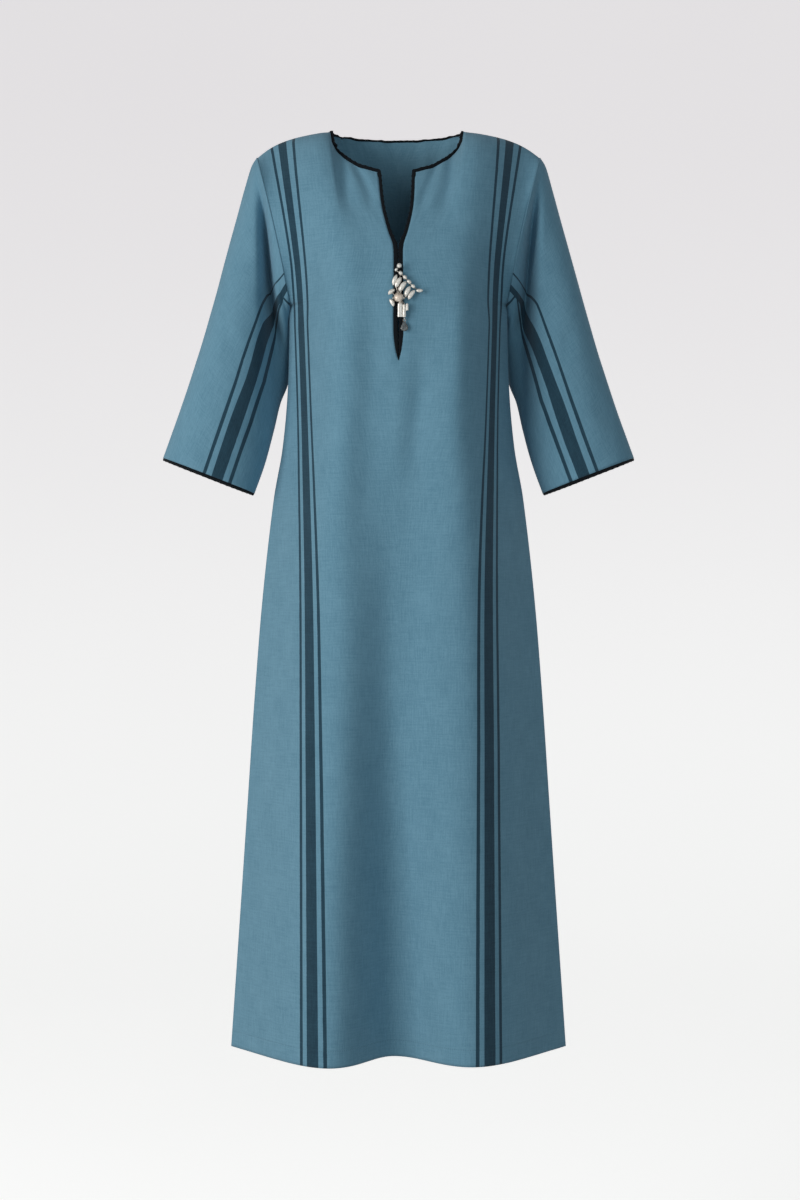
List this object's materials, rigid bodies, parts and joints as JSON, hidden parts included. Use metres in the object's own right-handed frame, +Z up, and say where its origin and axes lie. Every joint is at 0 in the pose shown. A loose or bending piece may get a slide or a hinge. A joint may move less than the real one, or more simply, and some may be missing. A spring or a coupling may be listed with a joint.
{
  "type": "kaftan",
  "caption": "Long A-line kaftan with elbow sleeves, round neck with a centre slit, woven side stripes and a pinned ornament, held open as worn.",
  "frame": {"origin": "midway between the two neck points on the shoulder line, where the wearer's shoulders hold the garment up", "axes": "+Z up, -Y towards the front, +X towards the wearer's left side"},
  "size_m": [0.7048, 0.3118, 1.3734],
  "materials": {
    "cloth": "matt plain-weave cotton, dusty teal blue with dark woven stripes",
    "edging": "near-black narrow braid with small picots",
    "silver": "worn pale silver",
    "pale_stone": "polished pale shell or stone",
    "smoky_stone": "polished smoky grey stone"
  },
  "bodies": {
    "garment": {"front_panel": "cloth", "back_panel": "cloth", "sleeve_left": "cloth", "sleeve_right": "cloth", "neck_edging_left": "edging", "neck_edging_right": "edging", "neck_edging_back": "edging", "cuff_edging_left": "edging", "cuff_edging_right": "edging", "bead_top": "pale_stone", "bead_top_small": "pale_stone", "bead_2": "pale_stone", "bead_3": "pale_stone", "bead_4": "pale_stone", "bead_5": "pale_stone", "bead_tip": "pale_stone", "petal_1": "pale_stone", "petal_2": "pale_stone", "petal_3": "pale_stone", "petal_4": "pale_stone", "petal_5": "pale_stone", "leaf_upper": "pale_stone", "leaf_lower": "pale_stone", "stem_long": "pale_stone", "stem_middle": "pale_stone", "stem_short": "pale_stone", "ball": "silver", "spray_wires": "silver", "pin_plate": "silver"},
    "ornament_drop": {"drop": "smoky_stone"}
  },
  "joints": [
    {"name": "drop_swing", "type": "hinge", "parent": "garment", "child": "ornament_drop", "pos_m": [0.0086, -0.13001, -0.2998], "axis": [0, 1, 0], "range_deg": [-35, 35]}
  ]
}
